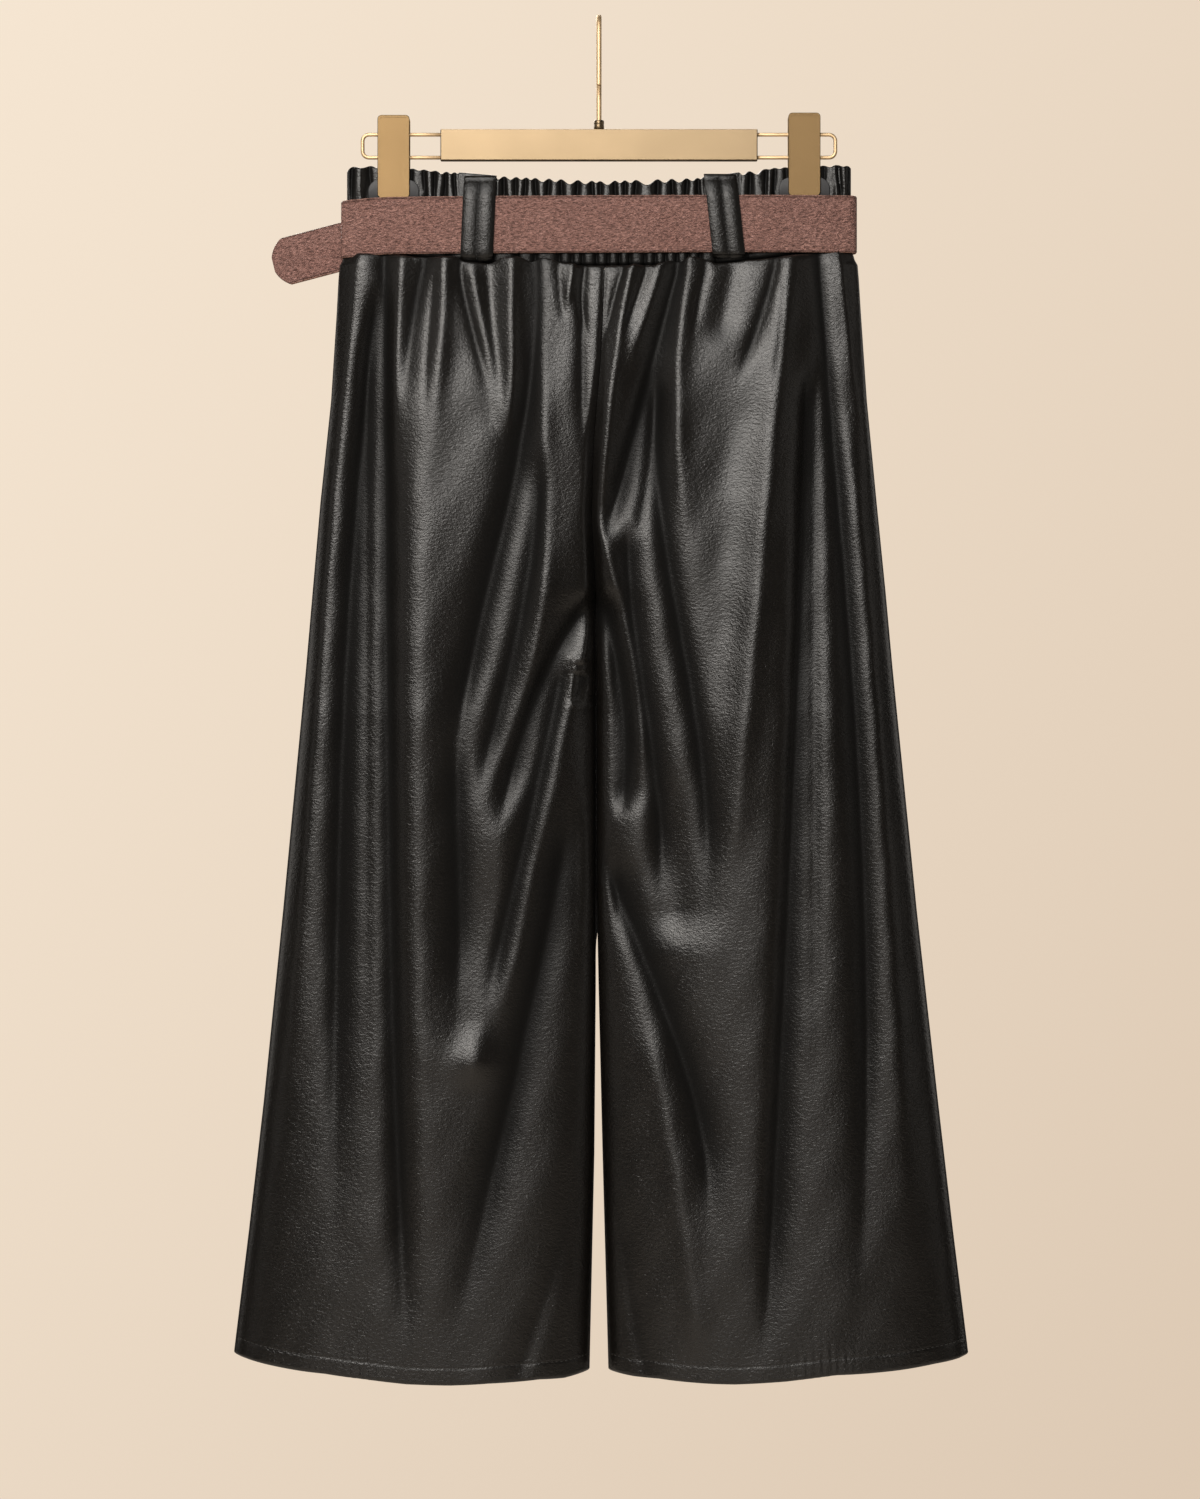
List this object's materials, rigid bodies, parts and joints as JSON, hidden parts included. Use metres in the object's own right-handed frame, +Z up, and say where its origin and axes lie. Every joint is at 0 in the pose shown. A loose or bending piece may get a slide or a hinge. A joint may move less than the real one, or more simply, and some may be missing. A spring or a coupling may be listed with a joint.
{
  "type": "faux leather trousers on a trouser hanger",
  "caption": "Wide-leg cropped faux leather trousers with a gathered elastic waist and a belt in its loops, hung by the waistband in the clips of a metal trouser hanger.",
  "frame": {"origin": "inside top of the hanger's hook, where a rail bears on it", "axes": "+Z up, against the trousers' hang; -Y is the trousers' back and the side the hook's free end is on; +X is the wearer's right and runs along the hanger's bar"},
  "size_m": [0.576, 0.0729, 1.0709],
  "materials": {
    "faux_leather": "black polyurethane leather, soft sheen, fine wrinkled grain",
    "belt_leather": "dark red-brown pebbled leather, matt, lighter worn edges",
    "satin_gold": "satin gold plating",
    "rubber": "matt dark grey rubber"
  },
  "bodies": {
    "root": {"leg_back_left": "faux_leather", "leg_back_right": "faux_leather", "leg_front_left": "faux_leather", "leg_front_right": "faux_leather", "waistband_back": "faux_leather", "waistband_front": "faux_leather", "belt_loop_back_left": "faux_leather", "belt_loop_back_right": "faux_leather", "belt_loop_front_left": "faux_leather", "belt_loop_front_right": "faux_leather", "belt_strap": "belt_leather", "belt_keeper": "belt_leather", "buckle_frame": "satin_gold", "buckle_prong": "satin_gold", "hanger_hook": "satin_gold", "hanger_ferrule": "satin_gold", "hanger_bar": "satin_gold", "hanger_wire_left": "satin_gold", "hanger_wire_right": "satin_gold", "clip_back_left": "satin_gold", "clip_back_right": "satin_gold", "clip_front_left": "satin_gold", "clip_front_right": "satin_gold", "clip_drum_left": "satin_gold", "clip_drum_right": "satin_gold", "clip_pad_back_left": "rubber", "clip_pad_back_right": "rubber", "clip_pad_front_left": "rubber", "clip_pad_front_right": "rubber"}
  },
  "joints": []
}
